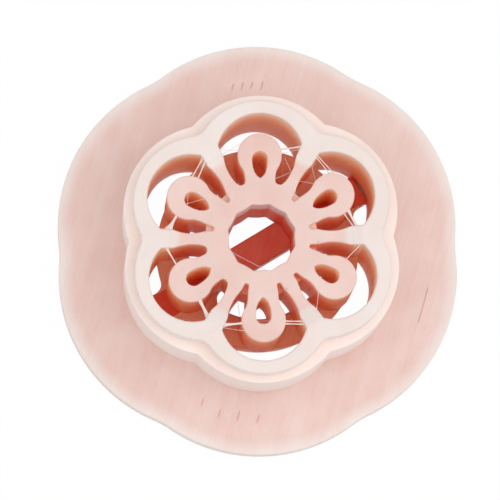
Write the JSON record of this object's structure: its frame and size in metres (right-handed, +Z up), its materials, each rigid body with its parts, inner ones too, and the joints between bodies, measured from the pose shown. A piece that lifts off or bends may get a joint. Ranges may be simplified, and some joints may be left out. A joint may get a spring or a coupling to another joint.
{
  "type": "fondant cutter",
  "caption": "Flower-shaped fondant cutter with a wide scalloped flange, a stepped petal wall with a cutting edge, and an inner stamp of a hub, loops and spokes on a ring and cross bar.",
  "frame": {"origin": "centre of the flange's underside, on the surface that the cutter lies on", "axes": "+Z up, from the flange to the cutting edge; +X along the bridge bar, towards the middle of a petal; +Y towards the dip between two petals"},
  "size_m": [0.0384, 0.037, 0.012],
  "materials": {
    "flange_plastic": "satin print, solid filled plate with diagonal print lines",
    "wall_plastic": "satin print, thin pale wall with fine layer lines",
    "stamp_plastic": "satin print, lines with fine layer lines",
    "support_plastic": "satin print"
  },
  "bodies": {
    "root": {"base_flange": "flange_plastic", "shoulder_wall": "wall_plastic", "cutting_blade": "wall_plastic", "bridge_bar": "support_plastic", "support_ring_back": "support_plastic", "support_ring_front": "support_plastic", "hub_lower": "stamp_plastic", "hub_upper": "stamp_plastic", "petal_loop_1": "stamp_plastic", "petal_loop_2": "stamp_plastic", "petal_loop_3": "stamp_plastic", "petal_loop_4": "stamp_plastic", "petal_loop_5": "stamp_plastic", "petal_loop_6": "stamp_plastic", "spoke_1": "stamp_plastic", "spoke_2": "stamp_plastic", "spoke_3": "stamp_plastic", "spoke_4": "stamp_plastic", "spoke_5": "stamp_plastic", "spoke_6": "stamp_plastic"}
  },
  "joints": []
}
